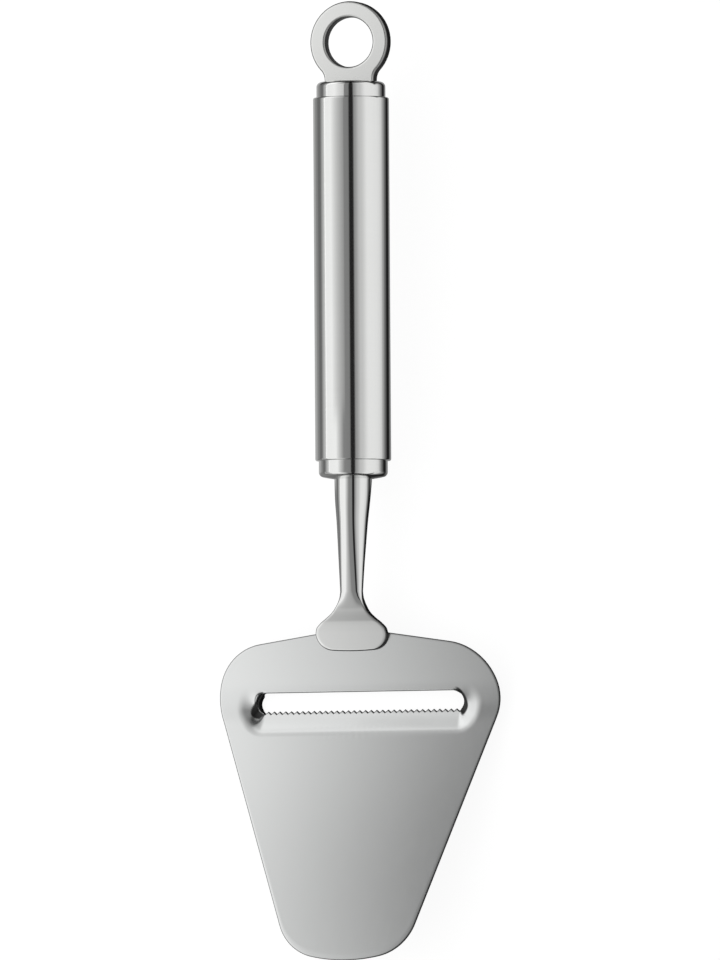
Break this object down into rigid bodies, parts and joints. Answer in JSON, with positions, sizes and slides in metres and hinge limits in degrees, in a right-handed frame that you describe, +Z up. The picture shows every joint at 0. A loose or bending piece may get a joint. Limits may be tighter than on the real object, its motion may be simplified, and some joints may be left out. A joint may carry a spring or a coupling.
{
  "type": "cheese slicer",
  "caption": "All-steel cheese slicer: tubular handle with domed caps and a hanging ring, forged neck, and a bent blade plate with a slot and a pressed, toothed lip.",
  "frame": {"origin": "middle of the bounding box's bottom face, with the slicer lying on a table on the handle tube's lower end and the blade's lip", "axes": "+Z up, the side that the slice comes out on; +Y along the handle from the blade to the hanging ring; +X across the blade"},
  "size_m": [0.0702, 0.2278, 0.0221],
  "materials": {
    "blade_steel": "satin polished stainless steel sheet",
    "neck_steel": "polished forged stainless steel",
    "cap_steel": "polished stainless steel",
    "tube_steel": "bright polished stainless steel",
    "ring_steel": "satin polished stainless steel",
    "weld_steel": "brushed weld metal"
  },
  "bodies": {
    "root": {"blade_plate": "blade_steel", "neck_shank": "neck_steel", "foot_weld": "weld_steel", "lower_cap": "cap_steel", "neck_weld": "weld_steel", "handle_tube": "tube_steel", "upper_cap": "cap_steel", "hanging_ring": "ring_steel", "ring_weld": "weld_steel"}
  },
  "joints": []
}
